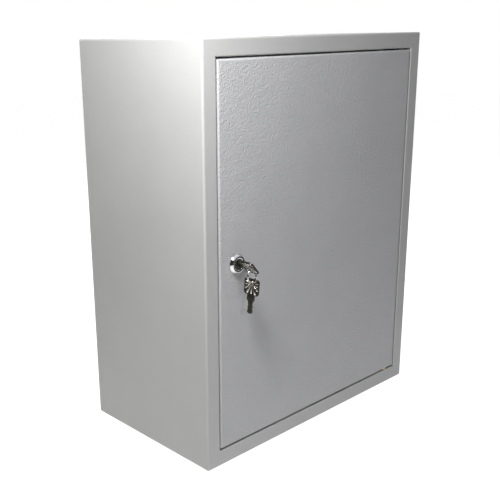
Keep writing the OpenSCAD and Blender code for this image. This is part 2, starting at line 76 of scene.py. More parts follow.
BOW_WIDTH, BOW_LENGTH, BOW_THICK, BOW_CORNER = mm(20, 19.5, 2.2, 3.5)
NECK_WIDTH, NECK_LENGTH = mm(9.4, 7)
BLADE_WIDTH, BLADE_LENGTH, BLADE_THICK = mm(7, 16, 2)
HOLE_RADIUS = 2.6 * MM
HOLE_Y = -(NECK_LENGTH + BOW_LENGTH - 5.8 * MM)
FLUTES = 14
CUTS = mm(0.5, 1.0, 0.3, 0.8, 0.5)
FIRST_CUT, CUT_PITCH, CUT_FLAT = mm(3.2, 2.2, 1.1)


# ---------------------------------------------------------------- material building blocks

def shader(name, **values):
    """A material with a Principled shader, whose plain sockets are set by name."""
    material = bpy.data.materials.new(name)
    material.use_nodes = True
    principled = material.node_tree.nodes["Principled BSDF"]
    for socket, value in values.items():
        principled.inputs[socket.replace("_", " ")].default_value = value
    return material, principled


def add_node(material, kind, **settings):
    node = material.node_tree.nodes.new(kind)
    for name, value in settings.items():
        setattr(node, name, value)
    return node


def link(material, output, target):
    material.node_tree.links.new(output, target)


def place_on(material):
    """Object coordinates, in metres."""
    return add_node(material, "ShaderNodeTexCoord").outputs["Object"]


def cloud(material, scale, detail=2.0, roughness=0.5):
    """Soft noise with `scale` features to the metre."""
    node = add_node(material, "ShaderNodeTexNoise")
    node.inputs["Scale"].default_value = scale
    node.inputs["Detail"].default_value = detail
    node.inputs["Roughness"].default_value = roughness
    link(material, place_on(material), node.inputs["Vector"])
    return node.outputs["Fac"]


def ramp(material, factor, *stops):
    """Colours at places along a factor."""
    node = add_node(material, "ShaderNodeValToRGB")
    elements = node.color_ramp.elements
    while len(elements) < len(stops):
        elements.new(0.5)
    for element, (place, colour) in zip(elements, stops):
        element.position = place
        element.color = (*colour, 1)
    link(material, factor, node.inputs["Fac"])
    return node.outputs["Color"]


def span(material, factor, low, high, from_low=0.0, from_high=1.0):
    """A factor moved to the range low..high."""
    node = add_node(material, "ShaderNodeMapRange")
    node.inputs["From Min"].default_value = from_low
    node.inputs["From Max"].default_value = from_high
    node.inputs["To Min"].default_value = low
    node.inputs["To Max"].default_value = high
    link(material, factor, node.inputs["Value"])
    return node.outputs["Result"]


def bumps(material, principled, *layers):
    """Bump layers (factor, height in metres), one on the other."""
    normal = None
    for factor, height in layers:
        node = add_node(material, "ShaderNodeBump")
        node.inputs["Strength"].default_value = 1.0
        node.inputs["Distance"].default_value = height
        link(material, factor, node.inputs["Height"])
        if normal is not None:
            link(material, normal, node.inputs["Normal"])
        normal = node.outputs["Normal"]
    link(material, normal, principled.inputs["Normal"])


def shade(colour, factor):
    return tuple(channel * factor for channel in colour)


# ---------------------------------------------------------------- finishes

def powder_coat(name, colour, peel_height):
    """Light grey powder coat with a fine orange peel and a barely uneven tone."""
    material, principled = shader(name, IOR=1.5)
    tone = cloud(material, 14, 3)
    link(material, ramp(material, tone, (0.3, shade(colour, 0.975)), (0.7, shade(colour, 1.02))),
         principled.inputs["Base Color"])
    peel = cloud(material, 520, 1.5, 0.45)
    grain = cloud(material, 1500, 1.0)
    link(material, span(material, peel, 0.40, 0.52, 0.3, 0.7), principled.inputs["Roughness"])
    bumps(material, principled, (peel, peel_height), (grain, 0.00006))
    return material


def plated_steel(name, colour, low, high, grain_height=0.00002):
    """Metal plating with a cloudy tone, uneven gloss and a fine grain."""
    material, principled = shader(name, Metallic=1.0)
    tone = cloud(material, 90, 4, 0.6)
    link(material, ramp(material, tone, (0.3, shade(colour, 0.82)), (0.7, shade(colour, 1.08))),
         principled.inputs["Base Color"])
    link(material, span(material, cloud(material, 300, 3), low, high, 0.3, 0.7),
         principled.inputs["Roughness"])
    bumps(material, principled, (cloud(material, 2200, 2), grain_height))
    return material


def spangled_steel(name, colour):
    """Galvanised sheet with its crystal spangle."""
    material, principled = shader(name, Metallic=1.0)
    cells = add_node(material, "ShaderNodeTexVoronoi")
    cells.inputs["Scale"].default_value = 95
    link(material, place_on(material), cells.inputs["Vector"])
    split = add_node(material, "ShaderNodeSeparateColor")
    link(material, cells.outputs["Color"], split.inputs["Color"])
    link(material, ramp(material, split.outputs["Red"], (0.0, shade(colour, 0.86)),
                        (1.0, shade(colour, 1.1))), principled.inputs["Base Color"])
    link(material, span(material, split.outputs["Green"], 0.32, 0.50),
         principled.inputs["Roughness"])
    bumps(material, principled, (cloud(material, 700, 3), 0.00003))
    return material


def closed_cell_foam(name, colour):
    """Matt black foam with fine open pores, painted darker in their pits as painted shade."""
    material, principled = shader(name, Roughness=0.9, IOR=1.4)
    pores = add_node(material, "ShaderNodeTexVoronoi")
    pores.inputs["Scale"].default_value = 1300
    link(material, place_on(material), pores.inputs["Vector"])
    # Darker towards the middle of each pore: painted shade in the pits.
    link(material, ramp(material, pores.outputs["Distance"], (0.0, shade(colour, 0.4)),
                        (0.6, colour)), principled.inputs["Base Color"])
    bumps(material, principled, (pores.outputs["Distance"], 0.0002))
    return material


PAINT = powder_coat("cabinet_powder_coat", (0.53, 0.535, 0.525), 0.0002)
DOOR_PAINT = powder_coat("door_powder_coat", (0.535, 0.535, 0.545), 0.0009)
ZINC = plated_steel("zinc_plate", (0.60, 0.61, 0.63), 0.28, 0.42)
PASSIVATED = plated_steel("yellowish_zinc", (0.58, 0.57, 0.52), 0.30, 0.45)
BRASS = plated_steel("plain_brass", (0.72, 0.52, 0.24), 0.22, 0.36)
CHROME = plated_steel("polished_chrome", (0.62, 0.62, 0.63), 0.05, 0.12, 0.000004)
# Near-black metal of the plug face: a painted dark reflection.
PAINTED_DARK_PLUG_METAL = plated_steel("plug_face_painted_dark_reflection", (0.09, 0.09, 0.09), 0.32, 0.48)
KEY_RIDGES = plated_steel("key_polished_ridges", (0.78, 0.75, 0.68), 0.14, 0.26, 0.00001)
# The key's flats are a near-black copy of the ridge metal: a painted dark reflection.
PAINTED_DARK_KEY_FLATS = plated_steel("key_flats_painted_dark_reflection", (0.09, 0.084, 0.066), 0.26, 0.40)
# The sunk field of the bow is darker still: painted shade in the recess.
PAINTED_SHADE_KEY_FIELD = plated_steel("key_field_painted_shade", (0.045, 0.041, 0.033), 0.32, 0.48)
SPRING_WIRE = plated_steel("ring_spring_wire", (0.50, 0.50, 0.50), 0.12, 0.24, 0.00001)
DULL_ZINC = plated_steel("dull_zinc", (0.22, 0.22, 0.225), 0.45, 0.60)
GALVANISED = spangled_steel("galvanised_spangle", (0.55, 0.57, 0.59))
FOAM = closed_cell_foam("black_foam", (0.025, 0.025, 0.027))


# ---------------------------------------------------------------- mesh building blocks

def ring_of(count, place):
    """Points round a loop, from place(angle)."""
    return [Vector(place(2 * math.pi * step / count)) for step in range(count)]


def circle_at(radius, height, count):
    return ring_of(count, lambda a: (radius * math.cos(a), radius * math.sin(a), height))


def add_loop(bm, points):
    """A closed loop of edges through the points."""
    verts = [bm.verts.new(point) for point in points]
    return [bm.edges.new((verts[i - 1], verts[i])) for i in range(len(verts))]


def cap(bm, edges):
    """A face over a closed loop."""
    return bmesh.ops.contextual_create(bm, geom=edges)["faces"]


def skin(bm, loops, closed=False, capped=True):
    """Faces between loops of equally many points; the ends are capped, or joined if closed."""
    rings = [add_loop(bm, loop) for loop in loops]
    pairs = list(zip(rings, rings[1:])) + ([(rings[-1], rings[0])] if closed else [])
    faces = []
    for first, second in pairs:
        faces += bmesh.ops.bridge_loops(bm, edges=first + second)["faces"]
    if capped and not closed:
        faces += cap(bm, rings[0]) + cap(bm, rings[-1])
    return faces


def revolve(bm, profile, steps, closed=True):
    """Turns a profile of (radius, height) points round the z axis."""
    verts = [bm.verts.new((radius, 0, height)) for radius, height in profile]
    edges = [bm.edges.new(pair) for pair in zip(verts, verts[1:])]
    if closed:
        edges.append(bm.edges.new((verts[-1], verts[0])))
    bmesh.ops.spin(bm, geom=verts + edges, cent=(0, 0, 0), axis=(0, 0, 1), dvec=(0, 0, 0),
                   angle=2 * math.pi, steps=steps, use_merge=True)
    bmesh.ops.remove_doubles(bm, verts=bm.verts, dist=1e-6)


def block(bm, low, high):
    """Box between two corners."""
    made = bmesh.ops.create_cube(bm, size=1)["verts"]
    low, high = Vector(low), Vector(high)
    bmesh.ops.scale(bm, vec=high - low, verts=made)
    bmesh.ops.translate(bm, vec=(low + high) / 2, verts=made)
    return made


def sharp_edges(bm, angle=30):
    limit = math.radians(angle)
    return [e for e in bm.edges if len(e.link_faces) == 2 and e.calc_face_angle(0) > limit]


def round_edges(bm, width, segments=2, angle=30, edges=None):
    """Rounds the sharp edges, or those given."""
    bmesh.ops.bevel(bm, geom=edges or sharp_edges(bm, angle), offset=width, offset_type="OFFSET",
                    segments=segments, profile=0.5, affect="EDGES", material=-1,
                    clamp_overlap=True)


def piece(bm, name, body, materials, turn=None, angle=30, stands_for=()):
    """Makes the mesh a piece that rides on a body and takes the place of CAD nodes."""
    if turn is not None:
        bmesh.ops.transform(bm, matrix=turn, verts=bm.verts)
    bmesh.ops.recalc_face_normals(bm, faces=bm.faces)
    for edge in bm.edges:
        edge.smooth = True
    for edge in sharp_edges(bm, angle):
        edge.smooth = False
    mesh = bpy.data.meshes.new(name)
    bm.to_mesh(mesh)
    bm.free()
    for material in materials:
        mesh.materials.append(material)
    for polygon in mesh.polygons:
        polygon.use_smooth = True
    made = bpy.data.objects.new(name, mesh)
    bpy.context.scene.collection.objects.link(made)
    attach(made, body)
    if stands_for:
        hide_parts(*stands_for)
    return made


def turned(axis, angle):
    return Matrix.Rotation(angle, 4, axis)


def moved(x, y, z):
    return Matrix.Translation((x, y, z))


# Local z of the lock points into the cabinet, from the face of the door
AT_LOCK = moved(LOCK_X, DOOR_FACE, LOCK_Z) @ turned("X", -math.pi / 2)
AT_KEY = (AT_LOCK @ turned("Z", -KEY_TURN) @ moved(0, 0, -KEY_SEAT)
          @ turned("Y", -math.pi / 2) @ turned("Z", -math.pi / 2))
AT_KEY_HOLE = moved(LOCK_X, DOOR_FACE - KEY_SEAT + HOLE_Y, LOCK_Z) @ turned("Z", RING_TURN)
AT_RING = AT_KEY_HOLE @ moved(0, 0, -RING_RADIUS) @ turned("X", math.pi / 2)
AT_SPARE = (AT_KEY_HOLE @ moved(0, 0, -SPARE_DROP) @ turned("X", SPARE_LEAN)
            @ turned("Y", math.pi / 2) @ turned("Z", -math.pi / 2) @ moved(0, -HOLE_Y, 0))


# ---------------------------------------------------------------- lock

def lock_bezel():
    """Polished conical bezel with a recessed face."""
    outer, front, recess, bore = mm(12, 9.5, 7.3, 6.55)
    rim, top = 1.0 * MM, BEZEL_HEIGHT
    bm = bmesh.new()
    revolve(bm, [(bore, 0), (outer, 0), (outer, -rim), (front, -top), (recess, -top),
                 (recess, -PLUG_FACE), (bore, -PLUG_FACE)], 72)
    round_edges(bm, 0.35 * MM, 3, 20)
    return piece(bm, "lock_bezel", "door", [CHROME], AT_LOCK, 50, ["lock_housing"])


def thread_profile(radius, pitch, depth, start, end):
    """Zigzag of a screw thread as (radius, height) points."""
    turns = int((end - start) / pitch)
    points = []
    for turn in range(turns):
        points += [(radius - depth, start + turn * pitch),
                   (radius, start + (turn + 0.45) * pitch),
                   (radius, start + (turn + 0.6) * pitch)]
    return points + [(radius - depth, end)]


def lock_barrel():
    """Threaded barrel with two flats, behind the door sheet."""
    bore, radius, flat = mm(6.55, 9, 8)
    end = HOUSING_HIGH.y - DOOR_FACE
    bm = bmesh.new()
    revolve(bm, [(bore, 0), (radius, 0)]
            + thread_profile(radius, 1.0 * MM, 0.45 * MM, SHEET, end) + [(bore, end)], 64)
    for vert in bm.verts:
        vert.co.y = max(-flat, min(flat, vert.co.y))
    return piece(bm, "lock_barrel", "door", [ZINC], AT_LOCK, 40)


def box_reach(angle, half_x, half_y):
    """Distance from the middle of a rectangle to its edge."""
    return min(half_x / max(abs(math.cos(angle)), 1e-6), half_y / max(abs(math.sin(angle)), 1e-6))


def lock_face():
    """Plug with its key slot, in near-black metal that is a painted dark reflection; the back end
    carries the cam.
    """
    radius, chamfer, slot_x, slot_y, slot_depth = mm(6.5, 0.35, 1.2, 3.7, 16.2)
    count = 64
    back = 20.2 * MM

    def slot(depth, grow=0.0):
        return ring_of(count, lambda a: (box_reach(a, slot_x + grow, slot_y + grow) * math.cos(a),
                                         box_reach(a, slot_x + grow, slot_y + grow) * math.sin(a),
                                         depth))

    bm = bmesh.new()
    skin(bm, [slot(slot_depth - PLUG_FACE), slot(-PLUG_FACE + chamfer / 2),
              slot(-PLUG_FACE, chamfer / 2), circle_at(radius - chamfer, -PLUG_FACE, count),
              circle_at(radius, -PLUG_FACE + chamfer, count), circle_at(radius, back, count)])
    return piece(bm, "lock_face", "plug", [PAINTED_DARK_PLUG_METAL], AT_LOCK @ turned("Z", -KEY_TURN),
                 stands_for=["lock_plug"])


def plug_tail():
    """Square that drives the cam, and the thread for its nut."""
    square, start, end, radius = mm(7, 20.2, 28.2, 3)
    bm = bmesh.new()
    revolve(bm, [(0, start)] + thread_profile(radius, 1.0 * MM, 0.4 * MM, start + SHEET, end)
            + [(0, end)], 32, closed=False)
    block(bm, (-square / 2, -square / 2, start), (square / 2, square / 2, start + 1.9 * MM))
    return piece(bm, "plug_tail", "plug", [ZINC], AT_LOCK)


# ---------------------------------------------------------------- keys and ring

def bow_reach(angle):
    """Distance from the key's hole to the outline of its bow."""
    middle = Vector((0, -(NECK_LENGTH + BOW_LENGTH / 2) - HOLE_Y))
    half = Vector((BOW_WIDTH / 2 - BOW_CORNER, BOW_LENGTH / 2 - BOW_CORNER))
    near, far = 0.0, 2 * BOW_LENGTH
    for _ in range(30):
        reach = (near + far) / 2
        x = abs(reach * math.cos(angle) - middle.x) - half.x
        y = abs(reach * math.sin(angle) - middle.y) - half.y
        outside = math.hypot(max(x, 0), max(y, 0)) + min(max(x, y), 0) - BOW_CORNER
        near, far = (near, reach) if outside > 0 else (reach, far)
    return near


def bow_plate(bm):
    """Bow with a sunk field round the raised collar of its hole."""
    count, field = 112, 0.35 * MM
    face = BOW_THICK / 2

    def outline(inset, height):
        return ring_of(count, lambda a: ((bow_reach(a) - inset) * math.cos(a),
                                         HOLE_Y + (bow_reach(a) - inset) * math.sin(a), height))

    def collar(radius, height):
        return [point + Vector((0, HOLE_Y, 0)) for point in circle_at(radius, height, count)]

    def side(sign):
        return [collar(HOLE_RADIUS, sign * (face - 0.15 * MM)),
                collar(HOLE_RADIUS + 0.15 * MM, sign * face),
                collar(HOLE_RADIUS + 0.85 * MM, sign * face),
                collar(HOLE_RADIUS + 1.1 * MM, sign * (face - field)),
                outline(1.1 * MM, sign * (face - field)),
                outline(0.9 * MM, sign * (face - 0.05 * MM)),
                outline(0.5 * MM, sign * face),
                outline(0.12 * MM, sign * (face - 0.22 * MM)),
                outline(0, sign * (face - 0.6 * MM))]

    for made in skin(bm, side(1) + side(-1)[::-1], closed=True):
        middle = made.calc_center_median()
        away = math.hypot(middle.x, middle.y - HOLE_Y)
        sunk = abs(middle.z) < face - 0.1 * MM and abs(middle.z) > face - 0.6 * MM
        # The collar takes the ridge metal, the sunk field the painted shade of material 2, and the rest
        # keeps the painted dark reflection of material 0.
        if away < HOLE_RADIUS + 0.9 * MM:
            made.material_index = 1
        elif sunk:
            made.material_index = 2


def petal(bm, angle, sign):
    """Raised ridge that widens away from the hole."""
    inner, margin = mm(4.15, 1.45)
    spread = 0.27 * 2 * math.pi / FLUTES
    outer = bow_reach(angle) - margin
    narrow, wide = inner * spread, outer * spread / (1 + spread)
    made = bmesh.ops.create_circle(bm, cap_ends=True, segments=20, radius=1)["verts"]
    for vert in made:
        far = vert.co.x > -1e-4
        radius, middle = (wide, outer - wide) if far else (narrow, inner + narrow)
        vert.co = Vector((middle + vert.co.x * radius, vert.co.y * radius, 0))
    base = made[0].link_faces[0]
    raised = bmesh.ops.extrude_face_region(bm, geom=[base])["geom"]
    top = next(item for item in raised if isinstance(item, bmesh.types.BMFace))
    bmesh.ops.translate(bm, vec=(0, 0, 0.42 * MM), verts=top.verts)
    rounded = bmesh.ops.bevel(bm, geom=list(top.edges), offset=0.26 * MM, offset_type="OFFSET",
                              segments=3, profile=0.5, affect="EDGES", material=-1,
                              clamp_overlap=True)["faces"]
    verts = {v for face in rounded for v in face.verts} | set(made)
    verts |= {v for vert in list(verts) for edge in vert.link_edges for v in edge.verts}
    for face in {face for vert in verts for face in vert.link_faces}:
        face.material_index = 1
    bmesh.ops.translate(bm, vec=(0, 0, BOW_THICK / 2 - 0.41 * MM), verts=list(verts))
    if sign < 0:
        bmesh.ops.rotate(bm, cent=(0, 0, 0), matrix=Matrix.Rotation(math.pi, 3, "X"),
                         verts=list(verts))
    bmesh.ops.rotate(bm, cent=(0, 0, 0), matrix=Matrix.Rotation(angle, 3, "Z"),
                     verts=list(verts))
    bmesh.ops.translate(bm, vec=(0, HOLE_Y, 0), verts=list(verts))


def blade_section(along, width, groove):
    """Cross section of the blade, with a milled groove down each face."""
    half, face, edge = width / 2, BLADE_THICK / 2, 0.9 * MM
    right = [(edge, groove - face), (edge, -face), (half, -face), (half, face), (edge, face),
             (edge, face - groove)]
    return [Vector((x, along, z)) for x, z in right + [(-x, z) for x, z in right[::-1]]]


def blade(bm):
    """Shoulder and blade, with the same cuts on both edges."""
    shallow, groove = mm(0.02, 0.45)
    sections = [blade_section(-NECK_LENGTH - 1 * MM, NECK_WIDTH, shallow),
                blade_section(-2.2 * MM, NECK_WIDTH, shallow),
                blade_section(-1.6 * MM, NECK_WIDTH, groove),
                blade_section(0, NECK_WIDTH, groove), blade_section(0, BLADE_WIDTH, groove)]
    for number, depth in enumerate(CUTS):
        middle = FIRST_CUT + number * CUT_PITCH
        sections += [blade_section(middle + end * CUT_FLAT / 2, BLADE_WIDTH - 2 * depth, groove)
                     for end in (-1, 1)]
    sections += [blade_section(BLADE_LENGTH - 2.2 * MM, BLADE_WIDTH, groove),
                 blade_section(BLADE_LENGTH, 3.4 * MM, groove)]
    skin(bm, sections)


def key_piece(name, body, place):
    bm = bmesh.new()
    blade(bm)
    round_edges(bm, 0.10 * MM, 2, 35)
    bow_plate(bm)
    for number in range(FLUTES):
        for sign in (1, -1):
            petal(bm, (number + 0.5) * 2 * math.pi / FLUTES, sign)
    # Slot 0 is the painted dark reflection on the flats, slot 1 the ridge metal, slot 2 the painted
    # shade in the sunk field.
    return piece(bm, name, body, [PAINTED_DARK_KEY_FLATS, KEY_RIDGES, PAINTED_SHADE_KEY_FIELD], place, 40, [body])


def split_ring():
    """Two turns of spring wire that cross over once."""
    steps, cross = 60, 10
    step_angle = math.radians(300) / steps
    bm = bmesh.new()
    made = bmesh.ops.create_circle(bm, cap_ends=True, segments=12, radius=RING_WIRE / 2)["verts"]
    bmesh.ops.rotate(bm, cent=(0, 0, 0), matrix=Matrix.Rotation(math.pi / 2, 3, "X"), verts=made)
    bmesh.ops.translate(bm, vec=(RING_RADIUS, 0, -TURN_OFFSET), verts=made)
    section = [made[0].link_faces[0]]
    for turns, rise in ((steps, 0), (cross, 2 * TURN_OFFSET / cross), (steps, 0)):
        section = bmesh.ops.spin(bm, geom=section, cent=(0, 0, 0), axis=(0, 0, 1),
                                 dvec=(0, 0, rise), angle=step_angle * turns,
                                 steps=turns)["geom_last"]
    return piece(bm, "split_ring", "ring", [SPRING_WIRE],
                 AT_RING @ turned("Z", math.radians(60)), 40, ["key_ring"])


# ---------------------------------------------------------------- nuts, studs, seals and welds

def nut_body(bm, flats, bore, height, base=0.0):
    """Hexagon nut whose corners are turned off, on the z axis."""
    count, half = 48, flats / 2
    face_radius, lead = half * 0.94, 0.4 * MM

    def hexagon(angle):
        return half / math.cos(angle % (math.pi / 3) - math.pi / 6)

    def corners(top):
        sign = -1 if top else 1
        start = height if top else 0
        return ring_of(count, lambda a: (
            hexagon(a) * math.cos(a), hexagon(a) * math.sin(a),
            base + start + sign * (hexagon(a) - face_radius) * math.tan(math.pi / 6)))

    skin(bm, [circle_at(bore, base + lead, count), circle_at(bore + lead, base, count),
              circle_at(face_radius, base, count), corners(False), corners(True),
              circle_at(face_radius, base + height, count),
              circle_at(bore + lead, base + height, count),
              circle_at(bore, base + height - lead, count)], closed=True)


def rod_body(bm, radius, pitch, start, end, steps=28):
    """Threaded rod with a blunt tip, on the z axis."""
    chamfer = 0.5 * MM
    revolve(bm, [(0, start)] + thread_profile(radius, pitch, pitch * 0.5, start, end - chamfer)
            + [(radius - chamfer, end), (0, end)], steps, closed=False)


def copies_of(make, places):
    """One mesh that holds a copy of a form at each place."""
    bm = bmesh.new()
    for place in places:
        part = bmesh.new()
        make(part)
        bmesh.ops.transform(part, matrix=place, verts=part.verts)
        mesh = bpy.data.meshes.new("form")
        part.to_mesh(mesh)
        part.free()
        bm.from_mesh(mesh)
        bpy.data.meshes.remove(mesh)
    return bm


def grid_places(node, columns, rows, size, turn, base):
    """Places of a pattern of round things that fill a node's box, in the x and a second axis."""
    low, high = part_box(node)
    second = 1 if turn is None else 2
    turn = turn or Matrix.Identity(4)
    places = []
    for column in range(columns):
        for row in range(rows):
            x = low.x + size / 2 + (high.x - low.x - size) * column / (columns - 1)
            other = low[second] + size / 2 + (high[second] - low[second] - size) * row / (rows - 1)
            centre = (x, other, base) if second == 1 else (x, base, other)
            places.append(moved(*centre) @ turn)
    return places


FACING_FRONT = turned("X", math.pi / 2)
FACING_BACK = turned("X", -math.pi / 2)


def plate_fasteners():
    """Collar studs of the mounting plate, and their nuts."""
    collar, radius, standoff = mm(14, 4, 14)
    low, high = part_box("plate_studs")
    places = grid_places("plate_studs", 2, 2, collar, FACING_FRONT, high.y)
    length = high.y - low.y

    def stud(bm):
        revolve(bm, [(0, 0), (collar / 2, 0), (collar / 2, standoff), (0, standoff)], 40,
                closed=False)
        round_edges(bm, 0.4 * MM, 2, 40)
        rod_body(bm, radius, 1.25 * MM, standoff, length)

    def nut(bm):
        nut_body(bm, 13 * MM, radius, 6.5 * MM)

    piece(copies_of(stud, places), "collar_studs", "cabinet", [ZINC], angle=40,
          stands_for=["plate_studs"])
    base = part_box("plate_nuts")[1].y
    nut_places = [moved(0, base - high.y, 0) @ place for place in places]
    piece(copies_of(nut, nut_places), "mounting_nuts", "cabinet", [PASSIVATED], angle=25,
          stands_for=["plate_nuts"])


def entry_fasteners():
    """Studs and flanged nuts of the blank cable plate."""
    radius, flange = mm(2.5, 5.5)
    low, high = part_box("entry_studs")
    places = grid_places("entry_studs", 3, 2, 2 * radius, None, low.z)
    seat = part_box("entry_nuts")[0].z - low.z

    def stud(bm):
        rod_body(bm, radius, 0.8 * MM, 0, high.z - low.z, 20)

    def nut(bm):
        revolve(bm, [(radius, seat), (flange, seat), (flange, seat + 0.6 * MM),
                     (4 * MM, seat + 1.1 * MM), (radius, seat + 1.1 * MM)], 32)
        nut_body(bm, 8 * MM, radius, 4.4 * MM, seat + 0.6 * MM)

    piece(copies_of(stud, places), "cable_plate_studs", "cabinet", [ZINC], angle=40,
          stands_for=["entry_studs"])
    piece(copies_of(nut, places), "cable_plate_nuts", "cabinet", [PASSIVATED], angle=25,
          stands_for=["entry_nuts"])


def earth_fasteners(side, body, place):
    """Brass stud and nut for an earth lead."""
    def stud(bm):
        rod_body(bm, 3 * MM, 1.0 * MM, 0, 13 * MM)

    def nut(bm):
        nut_body(bm, 10 * MM, 3 * MM, 5 * MM, 2.4 * MM)

    piece(copies_of(stud, [place]), side + "_earth_screw", body, [BRASS], angle=40,
          stands_for=[side + "_earth_stud"])
    piece(copies_of(nut, [place]), side + "_earth_hex_nut", body, [BRASS], angle=25,
          stands_for=[side + "_earth_nut"])


def earth_places():
    low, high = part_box("cabinet_earth_stud")
    on_floor = moved((low.x + high.x) / 2, (low.y + high.y) / 2, low.z)
    low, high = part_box("door_earth_stud")
    on_door = moved((low.x + high.x) / 2, low.y, (low.z + high.z) / 2) @ FACING_BACK
    return on_floor, on_door


def lock_nuts():
    """Large nut of the lock, and the small nut that holds its cam."""
    bm = bmesh.new()
    nut_body(bm, 23 * MM, 9.05 * MM, 5 * MM, 2 * MM)
    piece(bm, "lock_ring_nut", "door", [PASSIVATED], AT_LOCK, 25, ["lock_nut"])
    bm = bmesh.new()
    nut_body(bm, 10 * MM, 3.05 * MM, 4 * MM, 23.2 * MM)
    piece(bm, "cam_hex_nut", "plug", [PASSIVATED], AT_LOCK, 25, ["cam_nut"])


def foam_bar(bm, low, high, along):
    """Foam strip with soft edges and an uneven face."""
    block(bm, low, high)
    round_edges(bm, 0.7 * MM, 2)
    length = high[along] - low[along]
    cuts = int(length / (6 * MM))
    axis = Vector((0, 0, 0))
    axis[along] = 1
    for cut in range(1, cuts):
        point = Vector(low)
        point[along] += length * cut / cuts
        bmesh.ops.bisect_plane(bm, geom=bm.verts[:] + bm.edges[:] + bm.faces[:],
                               plane_co=point, plane_no=axis)
    for vert in bm.verts:
        wave = noise.noise(vert.co * 90) * 0.12 * MM
        if vert.co.y < (low[1] + high[1]) / 2:
            vert.co.y += abs(wave)


def door_foam():
    """Foam seal on the three door stops."""
    low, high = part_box("door_seal")
    width, gap = mm(8, 0.3)
    inner_low, inner_high = low.z + width, high.z - width
    bars = [((low.x, low.y, low.z), (high.x, high.y, inner_low), 0),
            ((low.x, low.y, inner_high), (high.x, high.y, high.z), 0),
            ((low.x, low.y, inner_low + gap), (low.x + width, high.y, inner_high - gap), 2)]

    def all_bars(bm):
        for bar_low, bar_high, along in bars:
            part = bmesh.new()
            foam_bar(part, bar_low, bar_high, along)
            mesh = bpy.data.meshes.new("bar")
            part.to_mesh(mesh)
            part.free()
            bm.from_mesh(mesh)
            bpy.data.meshes.remove(mesh)

    bm = bmesh.new()
    all_bars(bm)
    made = piece(bm, "foam_door_seal", "cabinet", [FOAM], angle=60,
                 stands_for=["door_seal"])


def rectangle_at(half_x, half_y, centre, height, corner, steps=6):
    """Rectangle with round corners, as a loop of points."""
    points = []
    for quarter, (sx, sy) in enumerate(((1, 1), (-1, 1), (-1, -1), (1, -1))):
        for step in range(steps + 1):
            angle = math.pi / 2 * (quarter + step / steps)
            points.append(Vector((centre[0] + sx * (half_x - corner) + corner * math.cos(angle),
                                  centre[1] + sy * (half_y - corner) + corner * math.sin(angle),
                                  height)))
    return points


def cable_plate_gasket():
    """Foam gasket that bulges a little under the blank plate."""
    low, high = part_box("entry_gasket")
    centre = ((low.x + high.x) / 2, (low.y + high.y) / 2)
    half = ((high.x - low.x) / 2, (high.y - low.y) / 2)
    lap, bulge, corner = mm(16, 0.3, 1.5)
    middle = (low.z + high.z) / 2

    def loop(inset, height):
        return rectangle_at(half[0] - inset, half[1] - inset, centre, height, corner)

    bm = bmesh.new()
    skin(bm, [loop(bulge, low.z), loop(0, middle), loop(bulge, high.z), loop(lap, high.z),
              loop(lap - bulge, middle), loop(lap, low.z)], closed=True)
    made = piece(bm, "foam_entry_gasket", "cabinet", [FOAM], angle=60,
                 stands_for=["entry_gasket"])


def frame_welds():
    """Faint ground weld across each corner of the front frame."""
    start, end, width, height = mm(3.0, 17.4, 0.9, 0.07)
    half_x = (SHELL_HIGH.x - SHELL_LOW.x) / 2 - FRAME_WIDTH
    half_z = (SHELL_HIGH.z - SHELL_LOW.z) / 2 - FRAME_WIDTH

    def bead(bm):
        long = (end - start) * math.sqrt(2)
        made = bmesh.ops.create_circle(bm, cap_ends=True, segments=24, radius=1)["verts"]
        for vert in made:
            vert.co = Vector((vert.co.x * long / 2, vert.co.y * width / 2, 0))
        raised = bmesh.ops.extrude_face_region(bm, geom=[made[0].link_faces[0]])["geom"]
        top = next(item for item in raised if isinstance(item, bmesh.types.BMFace))
        bmesh.ops.translate(bm, vec=(0, 0, height + 0.1 * MM), verts=top.verts)
        bmesh.ops.scale(bm, vec=(0.96, 0.35, 1), verts=top.verts)

    middle = (start + end) / 2
    places = [moved(sx * (half_x + middle), DOOR_FACE + 0.1 * MM, sz * (half_z + middle))
              @ FACING_FRONT @ turned("Z", sx * sz * math.pi / 4)
              for sx in (-1, 1) for sz in (-1, 1)]
    piece(copies_of(bead, places), "frame_corner_welds", "cabinet", [PAINT],
          angle=60)


# ---------------------------------------------------------------- the object

def paint_nodes(material, *names):
    """Gives CAD nodes that stay their finish."""
    for name in names:
        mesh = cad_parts[name].data
        mesh.materials.clear()
        mesh.materials.append(material)


paint_nodes(PAINT, "cabinet_shell", "back_panel", "door_stop_left", "door_stop_top",
            "door_stop_bottom", "entry_plate")
paint_nodes(DOOR_PAINT, "door_panel")
paint_nodes(DULL_ZINC, "upper_pivot_pin", "lower_pivot_pin")
paint_nodes(ZINC, "plate_washers", "upper_pivot_plate", "lower_pivot_plate", "lock_washer",
            "lock_cam", "cam_washer")
paint_nodes(GALVANISED, "mounting_plate")
paint_nodes(BRASS, "pivot_washer", "cabinet_earth_washers", "door_earth_washers", "lock_wafers")

lock_bezel()
lock_barrel()
lock_face()
plug_tail()
lock_nuts()
key_piece("key_in_lock", "key", AT_KEY)
key_piece("hanging_key", "spare_key", AT_SPARE)
split_ring()
plate_fasteners()
entry_fasteners()
floor_place, door_place = earth_places()
earth_fasteners("cabinet", "cabinet", floor_place)
earth_fasteners("door", "door", door_place)
door_foam()
cable_plate_gasket()
frame_welds()


# ---------------------------------------------------------------- floor, light and camera

